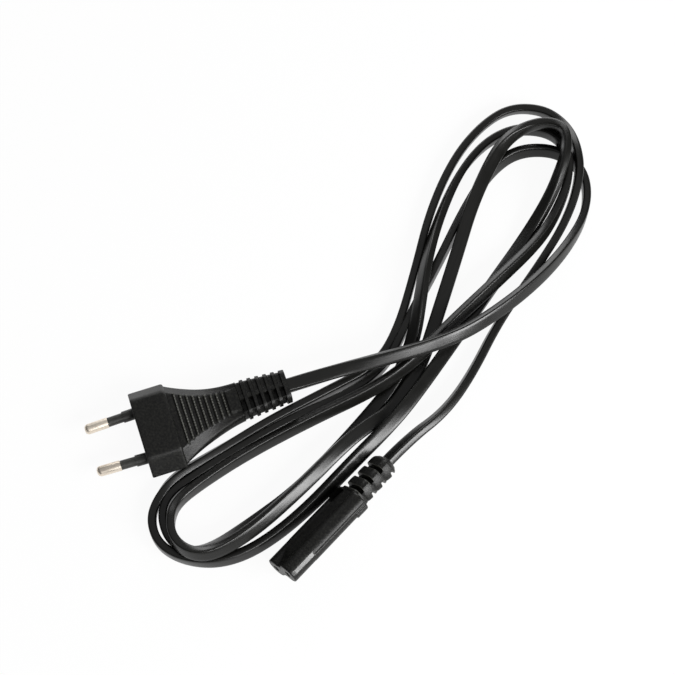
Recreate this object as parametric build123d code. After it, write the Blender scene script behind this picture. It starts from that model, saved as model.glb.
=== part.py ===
"""Flat two-core power cord with a two-pin plug, a figure-eight connector and its loose bundle of loops.

Frame: +Z up from the table, origin under the middle of the box around plug and connector. Millimetres.
Plug and connector are each built along their own +X, which runs from the mating face back to the cord,
and are then laid on the table. The cord is a plain round tube along a hand-chosen route.
"""
from build123d import *
from math import atan2, cos, degrees, radians, sin, tan
import os

# Layout on the table: the route and both ends are drawn on one sheet, and this point of it is the origin
LAYOUT_ORIGIN = (1.45, 0.66)
PLUG_FACE_AT = (-35.95, 16.75)
PLUG_YAW = 18.8
CONNECTOR_FACE_AT = (18.0, -35.4)
CONNECTOR_YAW = 47.4
CONNECTOR_ROLL = 47.0

# Plug: block behind the engagement face
BLOCK_W = 35.3
BLOCK_FLAT_W = 24.0
BLOCK_H = 13.7
BLOCK_LEN = 13.6
BLOCK_EDGE_R = 1.2
BLOCK_FACE_R = 0.5

# Plug: waisted grip with transverse ribs
GRIP_LEN = 25.7
GRIP_FRONT_W = 32.8
GRIP_REAR_W = 14.4
GRIP_SIDE_BOW = 0.7
GRIP_FLAT_FRONT_W = 23.8
GRIP_FLAT_REAR_W = 8.6
GRIP_FLAT_BOW = 0.92
GRIP_FRONT_H = 11.2
GRIP_REAR_H = 8.8
GRIP_BAND_FRONT_H = 0.8
GRIP_BAND_REAR_H = 4.0
GRIP_STATIONS = 6
RIB_COUNT = 9
RIB_PITCH = 2.16
RIB_START = 1.7
RIB_GROOVE_W = 0.9
RIB_GROOVE_DEPTH = 0.55

# Plug: strain relief of rings with windows between them
RELIEF_LEN = 19.1
RELIEF_FRONT_W = 14.9
RELIEF_REAR_W = 12.1
RELIEF_FRONT_H = 8.6
RELIEF_REAR_H = 7.6
RELIEF_CORNER_R = 3.3
RING_COUNT = 7
RING_PITCH = 3.05
RING_LEN = 1.6
RING_DEPTH = 0.9
SPINE_W = 1.9
RAIL_W = 0.8
WINDOW_DEPTH = 1.6

# Plug: pins in their bridge
PIN_SPACING = 18.6
PIN_TIP_SPACING = 17.5
PIN_LEN = 19.0
PIN_D = 4.0
PIN_END_R = 1.5
SHANK_D = 3.0
SLEEVE_LEN = 10.0
SLEEVE_D = 3.6
SLEEVE_ROOT_LEN = 4.2
SLEEVE_ROOT_D = 4.4
SLEEVE_SEAT = 0.5
BRIDGE_MARGIN = 4.0
BRIDGE_H = 7.6
BRIDGE_DEPTH = 7.0
BRIDGE_CORNER_R = 2.5
BARREL_LEN = 5.5
BARREL_D = 3.4

# Conductors and their insulation, at both ends
CONDUCTOR_D = 0.9
CORE_D = 1.8
CORE_PITCH = 1.9
CRIMP_DEPTH = 4.0
STRIP_GAP = 1.2
CORE_LEAD = 2.5
CORE_BEND_R = 5.0
PLUG_CORES_MEET = 33.0
CONNECTOR_CORES_MEET = 36.0

# Connector: figure-eight nose, body and strain relief
LOBE_PITCH = 8.6
NOSE_LOBE_R = 3.82
NOSE_WAIST_H = 5.6
NOSE_LEN = 11.0
BODY_LOBE_R = 4.0
BODY_WAIST_H = 6.4
BODY_LEN = 27.6
BODY_END_R = 0.8
TAIL_LEN = 18.4
TAIL_W = 11.0
TAIL_H = 7.6
TAIL_CORNER_R = 2.4
SLOT_COUNT = 3
SLOT_PITCH = 5.3
SLOT_LEN = 1.8
SLOT_DEPTH = 2.5
SLOT_START = 0.4
SLOT_STAGGER = 3.4
THUMB_AT = 23.3
THUMB_ASIDE = 3.6
THUMB_R = 3.3
THUMB_DEPTH = 1.0

# Connector: hard insert and its two female contacts
INSERT_RIM = 0.75
INSERT_LEN = 17.0
MOUTH_D = 2.8
MOUTH_LEN = 1.5
CONTACT_D = 3.1
CONTACT_BORE_D = 2.4
CONTACT_BORE_LEN = 12.5
CONTACT_SLIT = 0.5
CONTACT_BARREL_D = 2.0
CONTACT_BARREL_LEN = 5.0

# Cord: round tube with the section area of the flat oval one; heights of its layers on the table
CORD_D = 3.8
RUN_SHARE = 0.45
G = CORD_D / 2
CORD_LEAD = 18.0
CONNECTOR_LEAD = 12.0

# Route of the cord on the layout sheet, from the plug to the connector, between its two ends
ROUTE = [
    # over the bundle to the far right, and round the lowest far loop
    (54, 44.6, 9.8), (76, 51.5, 10.8), (92, 60.5, 9), (113, 78, 7), (128.5, 97.5, 3),
    (138, 115, G), (139.5, 132.5, G), (129, 143.5, G), (112.5, 144, G), (100.5, 134, G),
    # down the bundle beside the plug, and round the middle near loop
    (89.5, 116, G), (77, 90, G), (65, 66.5, G), (57.5, 49, G), (45, 36.5, G), (20, 25.3, G), (-3, 11, G),
    (-15, 2.8, G), (-24.3, -4.2, G), (-27.6, -12.5, G), (-24.6, -21.5, G), (-17.5, -26.6, G), (-8, -27, G),
    # up the bundle and over its second strand, and round the second far loop
    (6, -18.5, G), (24, -3, G), (42.5, 19.5, G), (61, 41, G), (68, 58, 2.4), (70.8, 73, 6.2), (73.4, 89, 6.2),
    (78.5, 110, 2.6), (87, 131.5, G), (97, 145, G), (107.5, 152.5, G), (118, 154, 2.4), (127, 148.5, 4.8),
    # back across the bundle, and round the near loop that lies on top
    (132, 138.5, 6.6), (132.5, 126, 5.8), (126.5, 110, 4.8), (118, 98.5, 5), (100, 81.5, 6.2), (82.5, 64.5, 6.2),
    (67.5, 47.5, 6.4), (53, 35.5, 5.6), (28, 24.3, G), (4, 11, 2.2), (-12.5, -0.8, 3.4), (-22, -8.2, 5),
    (-24.6, -16.2, 5.9), (-22, -24.2, 6), (-15.5, -29, 6), (-7, -28.8, 6), (7, -20, 6), (23.5, -4.5, 6),
    # up the bundle again, and round the far loop that lies on top
    (41, 14.5, 5.6), (57.5, 29, G), (68.5, 47, G), (76, 68, G), (84.5, 93, 4), (92, 116, 6.6), (100, 134.5, 6.2),
    (106, 146, 6.2), (113.5, 154, 7), (123, 156, 8.8), (130, 151, 10.4), (131.5, 142, 11), (129.5, 132.5, 10.4),
    # down beside the connector, and round the outer near loop
    (123.5, 119, 6), (113, 102, 2.4), (98, 80.5, G), (83, 57.5, G), (66, 32.5, G), (45, 9, G), (26, -11.5, G),
    (9.5, -25.5, G), (-4, -32, G), (-17, -31.3, G), (-27, -25.3, G), (-31.5, -15.5, G), (-30.5, -5.5, G),
    # under the edge of the plug, up the outside of the bundle, and round the outer far loop
    (-23, 2.5, G), (-10.5, 10.8, G), (11, 24.7, G), (34.4, 36.9, G), (51.5, 47, G), (58.5, 62, G), (67, 86, G),
    (74.8, 114.5, G), (85, 138.5, G), (96.5, 154.5, G), (109, 164, G), (123.5, 163.5, G), (132.5, 155.5, 3),
    # down to the connector
    (136, 142.5, 6), (136.9, 128, 6), (131, 109.5, 2.6), (117, 88.5, G), (100.5, 66, G), (88.5, 43.5, 2.2),
    (78, 27.5, 4.4),
]

PLUG_LEN = BLOCK_LEN + GRIP_LEN + RELIEF_LEN
CONNECTOR_LEN = NOSE_LEN + BODY_LEN + TAIL_LEN
PIN_TOE_IN = degrees(atan2((PIN_SPACING - PIN_TIP_SPACING) / 2, PIN_LEN))
SIDES = {"line": 1, "neutral": -1}


def on_sheet(x, y, z):
    """Point of the layout sheet in the part's frame."""
    return Vector(x - LAYOUT_ORIGIN[0], y - LAYOUT_ORIGIN[1], z)


def section(x):
    """Cross-section plane of a plug or connector, a distance behind its face."""
    return Plane.YZ.offset(x)


def rod(x0, x1, diameter):
    """Round bar along X between two stations."""
    return extrude(section(x0) * Circle(diameter / 2), x1 - x0)


def cut_box(x0, x1, y0, y1, z0, z1):
    """Box given by its six faces."""
    size = (x1 - x0, y1 - y0, z1 - z0)
    return Pos((x0 + x1) / 2, (y0 + y1) / 2, (z0 + z1) / 2) * Box(*size)


def flare(t, front, rear, bow):
    """Width that falls from front to rear along t = 0..1, hollow where bow is above zero."""
    return rear + (front - rear) * (1 - t) * (1 - bow * t)


def along(t, front, rear):
    """Straight taper from front to rear along t = 0..1."""
    return front + (rear - front) * t


def hexagon_block():
    """Six-sided block with its widest edge at half height."""
    flat = BLOCK_FLAT_W / 2
    top = BLOCK_H / 2
    edge = BLOCK_W / 2
    outline = Polygon((edge, 0), (flat, top), (-flat, top), (-edge, 0), (-flat, -top), (flat, -top), align=None)
    outline = fillet(outline.vertices(), BLOCK_EDGE_R)
    block = extrude(section(0) * outline, BLOCK_LEN)
    return fillet(block.faces().sort_by(Axis.X)[0].edges(), BLOCK_FACE_R)


def grip_outline(t):
    """Eight-sided section of the grip: flat top and bottom, slanted facets, upright side bands."""
    flat = flare(t, GRIP_FLAT_FRONT_W, GRIP_FLAT_REAR_W, GRIP_FLAT_BOW) / 2
    edge = flare(t, GRIP_FRONT_W, GRIP_REAR_W, GRIP_SIDE_BOW) / 2
    top = along(t, GRIP_FRONT_H, GRIP_REAR_H) / 2
    band = along(t, GRIP_BAND_FRONT_H, GRIP_BAND_REAR_H) / 2
    right = [(edge, -band), (edge, band), (flat, top)]
    left = [(-y, -z) for y, z in right]
    return Polygon(*right, (-flat, top), *left, (flat, -top), align=None)


def ribbed_grip():
    """Waisted grip with grooves between its ribs on top and underneath."""
    stations = [i / (GRIP_STATIONS - 1) for i in range(GRIP_STATIONS)]
    grip = loft([section(BLOCK_LEN + t * GRIP_LEN) * grip_outline(t) for t in stations])
    for i in range(RIB_COUNT + 1):
        middle = RIB_START + i * RIB_PITCH
        t = middle / GRIP_LEN
        x0 = BLOCK_LEN + middle - RIB_GROOVE_W / 2
        x1 = x0 + RIB_GROOVE_W
        reach = flare(t, GRIP_FLAT_FRONT_W, GRIP_FLAT_REAR_W, GRIP_FLAT_BOW) / 2 + RIB_GROOVE_DEPTH
        floor = along(t, GRIP_FRONT_H, GRIP_REAR_H) / 2 - RIB_GROOVE_DEPTH
        grip -= cut_box(x0, x1, -reach, reach, floor, BLOCK_H)
        grip -= cut_box(x0, x1, -reach, reach, -BLOCK_H, -floor)
    return grip


def ringed_relief():
    """Tapered strain relief: side grooves make the rings, windows open the top and underside between them."""
    start = BLOCK_LEN + GRIP_LEN
    front = RectangleRounded(RELIEF_FRONT_W, RELIEF_FRONT_H, RELIEF_CORNER_R)
    rear = RectangleRounded(RELIEF_REAR_W, RELIEF_REAR_H, RELIEF_CORNER_R)
    relief = loft([section(start) * front, section(PLUG_LEN) * rear], ruled=True)
    for i in range(RING_COUNT - 1):
        x1 = PLUG_LEN - RING_LEN - i * RING_PITCH
        x0 = x1 - (RING_PITCH - RING_LEN)
        t = (x0 - start) / RELIEF_LEN
        side = along(t, RELIEF_FRONT_W, RELIEF_REAR_W) / 2
        top = along(t, RELIEF_FRONT_H, RELIEF_REAR_H) / 2
        for way in (1, -1):
            groove = cut_box(x0, x1, side - RING_DEPTH, side + RING_LEN, -BLOCK_H, BLOCK_H)
            rail = side - RING_DEPTH - RAIL_W
            window = cut_box(x0, x1, SPINE_W / 2, rail, top - WINDOW_DEPTH, BLOCK_H)
            turn = Rot(0, 0, 0) if way == 1 else Rot(180, 0, 0)
            relief -= turn * groove
            relief -= turn * window
            relief -= turn * mirror(window, Plane.XZ)
    return relief


def plug_pin(side):
    """Pin of one side in the plug's frame, toed in, with a barrel behind the bridge for its conductor."""
    tip = rod(-PIN_LEN, -SLEEVE_LEN, PIN_D)
    tip = fillet(tip.edges().sort_by(Axis.X)[0], PIN_END_R)
    pin = tip + rod(-SLEEVE_LEN, BRIDGE_DEPTH, SHANK_D)
    pin += rod(BRIDGE_DEPTH, BRIDGE_DEPTH + BARREL_LEN, BARREL_D)
    pin -= rod(BRIDGE_DEPTH + BARREL_LEN - CRIMP_DEPTH, BRIDGE_DEPTH + BARREL_LEN, CONDUCTOR_D)
    return pin_place(side) * pin


def pin_place(side):
    """Place of one pin: its axis crosses the engagement face at half the pin spacing."""
    return Location((0, side * PIN_SPACING / 2, 0), (0, 0, side * PIN_TOE_IN))


def pin_bridge(pins):
    """Bridge that carries both pins, with a stepped sleeve on each."""
    outline = RectangleRounded(PIN_SPACING + 2 * BRIDGE_MARGIN, BRIDGE_H, BRIDGE_CORNER_R)
    bridge = extrude(section(0) * outline, BRIDGE_DEPTH)
    for side in SIDES.values():
        sleeve = rod(-SLEEVE_LEN, SLEEVE_SEAT, SLEEVE_D) + rod(-SLEEVE_ROOT_LEN, SLEEVE_SEAT, SLEEVE_ROOT_D)
        bridge += pin_place(side) * sleeve
    for pin in pins:
        bridge -= pin
    return bridge


def swept(points, diameter):
    """Round bar along straight runs with bends of the cores' radius."""
    path = FilletPolyline(*points, radius=CORE_BEND_R)
    return sweep(Plane(origin=path @ 0, z_dir=path % 0) * Circle(diameter / 2), path=path)


def core_pair(points, barrel_end):
    """Conductor from inside its barrel to the cord, and the insulation round it from behind the barrel."""
    inside, lead, meet, end = points
    way = (lead - inside).normalized()
    bare_to_insulated = inside + way * (barrel_end + STRIP_GAP - inside.X) / way.X
    conductor = swept([inside, lead, meet, end], CONDUCTOR_D)
    insulation = swept([bare_to_insulated, lead, meet, end], CORE_D) - conductor
    return conductor, insulation


def plug_cores(side):
    """Conductor and insulation of one side inside the plug."""
    barrel_end = BRIDGE_DEPTH + BARREL_LEN

    def on_pin_axis(x):
        return (pin_place(side) * Pos(x, 0, 0)).position

    offset = side * CORE_PITCH / 2
    points = [on_pin_axis(barrel_end - CRIMP_DEPTH), on_pin_axis(barrel_end + STRIP_GAP + CORE_LEAD)]
    points += [Vector(PLUG_CORES_MEET, offset, 0), Vector(PLUG_LEN, offset, 0)]
    return core_pair(points, barrel_end)


def connector_cores(side):
    """Conductor and insulation of one side inside the connector."""
    barrel_end = MOUTH_LEN + CONTACT_BORE_LEN + CONTACT_BARREL_LEN
    offset = side * CORE_PITCH / 2
    lobe = side * LOBE_PITCH / 2
    points = [Vector(barrel_end - CRIMP_DEPTH, lobe, 0), Vector(barrel_end + STRIP_GAP + CORE_LEAD, lobe, 0)]
    points += [Vector(CONNECTOR_CORES_MEET, offset, 0), Vector(CONNECTOR_LEN, offset, 0)]
    return core_pair(points, barrel_end)


def figure_eight(x0, x1, lobe_r, waist_h):
    """Bar with a figure-eight section between two stations."""
    lobes = Pos(LOBE_PITCH / 2, 0) * Circle(lobe_r) + Pos(-LOBE_PITCH / 2, 0) * Circle(lobe_r)
    return extrude(section(x0) * (lobes + Rectangle(LOBE_PITCH, waist_h)), x1 - x0)


def contact(side):
    """Female contact: slit tube with a barrel behind it for its conductor."""
    seat = MOUTH_LEN
    bore_end = seat + CONTACT_BORE_LEN
    piece = rod(seat, bore_end + CONTACT_SLIT, CONTACT_D) - rod(seat, bore_end, CONTACT_BORE_D)
    piece -= cut_box(seat, bore_end, -CONTACT_D, CONTACT_D, -CONTACT_SLIT / 2, CONTACT_SLIT / 2)
    barrel_end = bore_end + CONTACT_BARREL_LEN
    piece += rod(bore_end, barrel_end, CONTACT_BARREL_D) - rod(barrel_end - CRIMP_DEPTH, barrel_end, CONDUCTOR_D)
    return Pos(0, side * LOBE_PITCH / 2, 0) * piece


def insert_outside():
    """Hard insert without its holes, inside the rim of the nose."""
    return figure_eight(0, INSERT_LEN, NOSE_LOBE_R - INSERT_RIM, NOSE_WAIST_H - 2 * INSERT_RIM)


def connector_insert():
    """Hard insert that shows at the mating face, with a mouth and a seat for each contact."""
    insert = insert_outside()
    back = MOUTH_LEN + CONTACT_BORE_LEN + CONTACT_SLIT
    for side in SIDES.values():
        lobe = Pos(0, side * LOBE_PITCH / 2, 0)
        insert -= lobe * rod(0, MOUTH_LEN, MOUTH_D)
        insert -= lobe * rod(MOUTH_LEN, back, CONTACT_D)
        insert -= lobe * rod(back, INSERT_LEN, CONTACT_BARREL_D)
    return insert


def connector_outside():
    """Front of the connector's overmould without its hollows: nose, and body with thumb recesses."""
    body_end = NOSE_LEN + BODY_LEN
    body = figure_eight(NOSE_LEN, body_end, BODY_LOBE_R, BODY_WAIST_H)
    body = fillet(body.faces().sort_by(Axis.X)[-1].edges(), BODY_END_R)
    outside = body + figure_eight(0, NOSE_LEN, NOSE_LOBE_R, NOSE_WAIST_H)
    thumb_at = (NOSE_LEN + THUMB_AT, THUMB_ASIDE, 1.5 * BODY_LOBE_R - THUMB_DEPTH)
    thumb = Pos(*thumb_at) * Cylinder(THUMB_R, BODY_LOBE_R)
    outside -= thumb
    outside -= Rot(180, 0, 0) * thumb
    return outside


def slotted_tail():
    """Rear of the connector's overmould, cut in turn from its two broad faces so that it bends."""
    body_end = NOSE_LEN + BODY_LEN
    tail = extrude(section(body_end) * RectangleRounded(TAIL_W, TAIL_H, TAIL_CORNER_R), TAIL_LEN)
    for i in range(SLOT_COUNT):
        for way, lag in ((-1, 0), (1, SLOT_STAGGER)):
            x0 = body_end + SLOT_START + i * SLOT_PITCH + lag
            slot = cut_box(x0, x0 + SLOT_LEN, -TAIL_W, TAIL_W, TAIL_H / 2 - SLOT_DEPTH, TAIL_H)
            tail -= slot if way == 1 else mirror(slot, Plane.XY)
    return tail


def plug_location():
    """Plug lying flat on the table."""
    yaw = radians(PLUG_YAW)
    origin = on_sheet(*PLUG_FACE_AT, BLOCK_H / 2)
    return Plane(origin=origin, x_dir=(cos(yaw), sin(yaw), 0), z_dir=(0, 0, 1)).location


def connector_location():
    """Connector on its lower lobe, rolled so that the other lobe is raised."""
    yaw = radians(CONNECTOR_YAW)
    roll = radians(CONNECTOR_ROLL)
    origin = on_sheet(*CONNECTOR_FACE_AT, LOBE_PITCH / 2 * sin(roll) + BODY_LOBE_R)
    lean = (sin(roll) * sin(yaw), -sin(roll) * cos(yaw), -cos(roll))
    return Plane(origin=origin, x_dir=(cos(yaw), sin(yaw), 0), z_dir=lean).location


def station(place, x):
    """Point on the axis of a placed plug or connector."""
    return (place * Pos(x, 0, 0)).position


def cord_tube(plug_at, connector_at):
    """Tube along the route, with bends that take their share of the shorter run."""
    points = [station(plug_at, PLUG_LEN), station(plug_at, PLUG_LEN + CORD_LEAD)]
    points += [on_sheet(*p) for p in ROUTE]
    points += [station(connector_at, CONNECTOR_LEN + CONNECTOR_LEAD), station(connector_at, CONNECTOR_LEN)]
    radii = []
    for before, here, after in zip(points, points[1:], points[2:]):
        arrive = here - before
        leave = after - here
        run = min(arrive.length, leave.length)
        radii.append(RUN_SHARE * run / tan(radians(arrive.get_angle(leave)) / 2))
    path = FilletPolyline(*points, radius=radii)
    print("cord length %.1f, bend radii from %.1f" % (path.length, min(radii)))
    print("tightest bends", ["%.1f" % r for r in sorted(radii)[:12]])
    return sweep(Plane(origin=path @ 0, z_dir=path % 0) * Circle(CORD_D / 2), path=path), path.length


def build():
    """All pieces by node name, in the part's frame."""
    plug = {}
    connector = {}
    for name, side in SIDES.items():
        plug["plug_pin_" + name] = plug_pin(side)
        plug["plug_conductor_" + name], plug["plug_core_" + name] = plug_cores(side)
        connector["connector_contact_" + name] = contact(side)
        conductor, insulation = connector_cores(side)
        connector["connector_conductor_" + name] = conductor
        connector["connector_core_" + name] = insulation
    plug["plug_bridge"] = pin_bridge([plug["plug_pin_" + name] for name in SIDES])
    connector["connector_insert"] = connector_insert()
    plug_body = hexagon_block() + ribbed_grip() + ringed_relief()
    for piece in plug.values():
        plug_body -= piece
    connector_body = connector_outside() - insert_outside()
    connector_tail = slotted_tail()
    for piece in connector.values():
        connector_body -= piece
        connector_tail -= piece
    plug["plug_body"] = plug_body
    connector["connector_body"] = connector_body
    connector["connector_tail"] = connector_tail
    plug_at = plug_location()
    connector_at = connector_location()
    nodes = {name: plug_at * piece for name, piece in plug.items()}
    nodes.update({name: connector_at * piece for name, piece in connector.items()})
    tube, length = cord_tube(plug_at, connector_at)
    print("cord volume %.0f, section times length %.0f" % (tube.volume, 3.14159 * CORD_D ** 2 / 4 * length))
    nodes["cord"] = tube
    return nodes


os.makedirs("parts", exist_ok=True)
for node, shape in build().items():
    shape.label = node
    export_step(shape, "parts/%s.step" % node)
    box = shape.bounding_box()
    sizes = (node, len(shape.solids()), shape.volume, box.min.Z, box.max.Z)
    print("%-30s solids %d volume %9.1f  z %.2f to %.2f" % sizes)
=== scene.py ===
"""Power cord on a white table: flat two-core cord in a loose bundle, two-pin plug, figure-eight connector.

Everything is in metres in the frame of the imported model. Sizes below are in millimetres and angles of ends in
degrees, and MM turns sizes to metres where a piece is made. New pieces are grids of points worked out as whole
arrays.
"""
from math import cos, pi, radians, sin
import bpy
import numpy as np
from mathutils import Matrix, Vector


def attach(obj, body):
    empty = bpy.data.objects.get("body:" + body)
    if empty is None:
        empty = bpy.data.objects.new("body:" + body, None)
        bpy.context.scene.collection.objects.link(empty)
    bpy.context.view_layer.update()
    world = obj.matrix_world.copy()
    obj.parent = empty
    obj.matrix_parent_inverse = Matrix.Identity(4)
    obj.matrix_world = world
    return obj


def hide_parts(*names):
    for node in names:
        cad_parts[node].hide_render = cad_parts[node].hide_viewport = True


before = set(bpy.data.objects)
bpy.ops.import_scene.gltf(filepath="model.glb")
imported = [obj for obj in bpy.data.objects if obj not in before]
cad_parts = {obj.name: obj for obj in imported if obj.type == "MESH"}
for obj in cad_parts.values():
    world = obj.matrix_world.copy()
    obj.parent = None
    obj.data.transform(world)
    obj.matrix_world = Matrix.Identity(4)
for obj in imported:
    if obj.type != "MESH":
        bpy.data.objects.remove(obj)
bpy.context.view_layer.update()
MM = 0.001

# Camera: where it stands, what it looks at, its lens on a 36 mm sensor, and the nearest that it sees
CAMERA_AT = (36.55, -186.46, 547.3)
CAMERA_TARGET = (36.55, 59.54, 0.0)
CAMERA_LENS = 82.0
CAMERA_NEAR = 10.0

# White table: half its side, and the shares of it that are plain white to the camera and in reflections
TABLE_HALF = 3000.0
TABLE_SEEN = 0.94
TABLE_MIRRORED = 0.75

# Light: strength of the white sky, and square lamps turned to one point, each with its place, side and watts
SKY_STRENGTH = 0.1
LAMP_TARGET = (40, 50, 0)
LAMPS = {
    "ceiling": ((20, 160, 900), 1100, 1.1),
    "right_side": ((767, -353, 480), 420, 10),
    "near_right": ((412, -593, 529), 260, 3),
    "background": ((60, 950, 250), 700, 6),
}

# Finishes made by moulded(): dark and light tone, roughness, size of the grain and metallic. The real grain of
# the plastics and the copper is finer than here: it is drawn as coarse as it needs to show.
FINISHES = {
    # soft PVC from a polished patch of the tool: dark, with an even gloss, and a painted sheen that makes it a
    # shade lighter than the PVC round it
    "polished_pvc_flat": ("#262624", "#30302e", 0.33, 4.0, 0.0),
    # moulded nylon of the pin carrier: satin charcoal with a faint mottle of its fibres
    "glass_filled_nylon": ("#232321", "#343431", 0.42, 0.8, 0.0),
    # moulded nylon of the connector's insert: satin, a shade greyer than the PVC round it
    "insert_nylon": ("#3a3a38", "#4a4a47", 0.45, 0.8, 0.0),
    # barrel-plated nickel on turned brass: warm white metal with a soft sheen and hardly any pattern
    "nickel_plated_brass": ("#e9dccb", "#f3eadd", 0.42, 8.0, 1.0),
    # stamped brass of the contacts: yellow metal with broad highlights
    "contact_brass": ("#b08d4a", "#c7a55e", 0.3, 1.5, 1.0),
    # drawn and bunched copper wire: red metal, broken up strand by strand
    "bunched_copper": ("#a8603c", "#c07850", 0.35, 0.5, 1.0),
    # extruded PVC of the two cores: plain brown and plain blue with a dull gloss
    "brown_core_pvc": ("#4a2a18", "#5a3622", 0.4, 1.0, 0.0),
    "blue_core_pvc": ("#1f3f7a", "#2c4f90", 0.4, 1.0, 0.0),
}

# Sockets of a Mix node that mixes colours
MIX_FACTOR, MIX_A, MIX_B, MIX_RESULT = 0, 6, 7, 2

# Layout sheet of the part: its origin, and the places of plug and connector on it
LAYOUT_ORIGIN = (1.45, 0.66)
PLUG_FACE_AT = (-35.95, 16.75, 6.85)
PLUG_YAW = 18.8
PLUG_LEN = 58.4
CONNECTOR_FACE_AT = (18.0, -35.4, 7.145)
CONNECTOR_YAW = 47.4
CONNECTOR_ROLL = 47.0
CONNECTOR_LEN = 57.0

# Flat cord: section, leads on the axes of plug and connector, and how far its ends reach into them
CORD_W = 5.4
CORD_H = 3.2
CORD_CORNER_R = 0.85
CORD_LEAD = 18.0
CONNECTOR_LEAD = 12.0
CORD_INSIDE = 1.2
# Its mesh: rows per point of the route, columns round it, how steeply a corner's centre slides from corner to
# corner, and the length that its map gives to the way round, there and back
CORD_STEPS = 9
CORD_COLUMNS = 36
CORD_SLIDE = 3.0
CORD_MAP_ROUND = 30.0

# Route of the cord on the layout sheet, from the plug to the connector, between its leads: x, y, height of its
# underside above the table, and roll in degrees. At roll 0 it lies flat, at 90 it stands on edge, and above 0
# its upper face leans to the right of the way it runs. Points are moved one by one to follow the photograph.
ROUTE = [
    # over the bundle to the far right, and round the lowest far loop
    (54, 45.8, 8.5, 40), (76, 52, 9.9, 41), (92, 60.5, 7.8, 52), (113.3, 77.8, 6, 58), (129.2, 97.2, 1, 72),
    (138.7, 114.8, 0, 92), (139.2, 132.3, 0, 90), (129, 143, 0, 104), (112.5, 143.4, 0, 114),
    (100.5, 134, 0, 108),
    # down the bundle beside the plug, and round the middle near loop
    (89.5, 116, 0, 100), (77.3, 89.9, 0, 96), (65.5, 66.4, 0, 92), (58, 48.8, 0, 90), (45, 36.2, 0, 90),
    (20.2, 24.9, 0, 90), (-2.7, 10.6, 0, 90), (-14.7, 2.4, 0, 90), (-23.9, -4.5, 0, 90), (-27.1, -12.5, 0, 90),
    (-24.4, -21.8, 0, 92), (-17.6, -26.7, 0, 100), (-8, -25.7, 0, 120),
    # up the bundle and over its second strand, and round the second far loop
    (5.1, -17.4, 0, 150), (23.9, -2.9, 0, 168), (43.4, 18.7, 0, 172), (61.1, 40.9, 0, 168),
    (67.6, 58, 1.6, 150), (70.2, 73, 6.3, 132), (72.8, 89.1, 5.8, 122), (78.2, 110, 0.4, 112),
    (87, 131.5, 0, 104), (97, 145, 0, 98), (107.5, 152, 0, 92), (118, 153.4, 0.5, 90), (127, 148.5, 3.8, 90),
    # back across the bundle, and round the near loop that lies on top
    (132, 138.5, 6, 92), (131.5, 126.3, 4.4, 96), (125, 110.9, 2.4, 105), (117.2, 98.9, 2.4, 112),
    (100.3, 81.1, 4.3, 122), (82.9, 64, 3.8, 116), (67.5, 47.3, 4.5, 117), (52.7, 36.1, 3.4, 118),
    (27.7, 24.7, 0.5, 117), (3.7, 11.1, 0.4, 113), (-12.8, -0.6, 0.6, 105), (-21.4, -8.6, 2, 98),
    (-23.4, -16.5, 4.8, 90), (-21.6, -24.3, 5.7, 82), (-15.5, -29.2, 5.6, 70), (-7, -29.2, 4.8, 58),
    (7, -20.4, 4.5, 50), (23.5, -4.7, 4.3, 39),
    # up the bundle again, and round the far loop that lies on top
    (41, 14.3, 3.8, 20), (50.5, 22, 3.5, 10), (58.7, 28.6, 0.8, 4), (69.9, 46.3, 0, 4), (76.8, 67.9, 0, 2),
    (84.9, 92.9, 2.7, 0), (92, 116, 5.4, 8), (100, 133.8, 5.9, 28), (106, 144.2, 5, 55),
    (113.8, 150.4, 5.6, 82), (123, 152, 8, 98), (130, 147.8, 10.2, 92), (130.9, 140, 10.9, 80),
    (128.7, 131.6, 10, 62),
    # down beside the connector, and round the outer near loop
    (123.5, 118.6, 5, 40), (113, 102, 0.6, 20), (98, 80.5, 0, 6), (83, 57.1, 1.2, -6), (65.8, 31.4, 3.4, -20),
    (56.1, 19.7, 3.6, -29), (45, 8.5, 1.7, -42), (26.1, -11.7, 0, -64), (9.4, -25.3, 0, -70),
    (-4.2, -30.8, 0, -76), (-17, -30.2, 0, -86), (-27, -25, 0, -90), (-31, -15.6, 0, -90),
    (-28.8, -6.6, 0, -80),
    # under the edge of the plug, up the outside of the bundle, and round the outer far loop
    (-22.8, 2, 0, -58), (-10.2, 10, 0, -62), (11, 23.8, 0, -80), (34.4, 36.4, 0, -90), (53.2, 47, 0, -90),
    (61.4, 62, 0, -90), (68.2, 86, 0, -90), (75.1, 114.5, 0, -88), (85.2, 138.5, 0, -84),
    (96.7, 154.2, 0, -78), (109, 163.4, 0, -74), (123.2, 162.9, 0, -78), (131.8, 155, 1, -86),
    # down to the connector
    (135.4, 142.2, 5.4, -92), (136, 127.8, 5.4, -96), (130, 110, 0.6, -99), (116.7, 88.6, 0, -101),
    (100.8, 65.8, 0, -104), (89.3, 42.9, 0.1, -107), (78.5, 27, 1.9, -116),
]
PLUG_END_ROLLS = (0.0, 20.0)
CONNECTOR_END_ROLL = -133.0

# Mouldings: rows round a rounded edge, and how wide a step along an axis is
EDGE_ROWS = 6
STEP_SOFT = 0.3

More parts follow.
